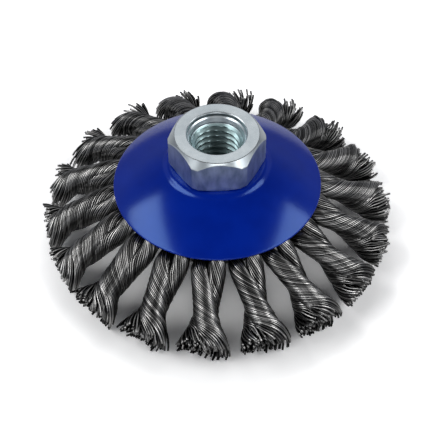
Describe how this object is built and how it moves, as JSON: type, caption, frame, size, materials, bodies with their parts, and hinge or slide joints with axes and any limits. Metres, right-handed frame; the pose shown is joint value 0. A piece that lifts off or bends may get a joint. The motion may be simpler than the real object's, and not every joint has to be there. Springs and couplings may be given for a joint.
{
  "type": "bevel wire brush",
  "caption": "Threaded bevel brush for an angle grinder: a ring of twisted steel wire knots that droop and flare outwards, held under a domed cup with a hexagon nut.",
  "frame": {"origin": "on the spindle axis, at the height of the knots' lowest tips", "axes": "+Z along the spindle axis, out of the nut's mouth towards the grinder; +X through a corner of the hexagon"},
  "size_m": [0.0994, 0.099, 0.0384],
  "materials": {
    "nut_zinc": "turned steel with clear zinc plating",
    "cup_paint": "gloss dark blue enamel",
    "plate_steel": "plain pressed sheet",
    "knot_wire": "bright drawn wire"
  },
  "bodies": {
    "root": {"spindle_nut": "nut_zinc", "cup": "cup_paint", "knot_plate": "plate_steel", "back_plate": "plate_steel", "knot_01": "knot_wire", "knot_02": "knot_wire", "knot_03": "knot_wire", "knot_04": "knot_wire", "knot_05": "knot_wire", "knot_06": "knot_wire", "knot_07": "knot_wire", "knot_08": "knot_wire", "knot_09": "knot_wire", "knot_10": "knot_wire", "knot_11": "knot_wire", "knot_12": "knot_wire", "knot_13": "knot_wire", "knot_14": "knot_wire", "knot_15": "knot_wire", "knot_16": "knot_wire", "knot_17": "knot_wire", "knot_18": "knot_wire"}
  },
  "joints": []
}
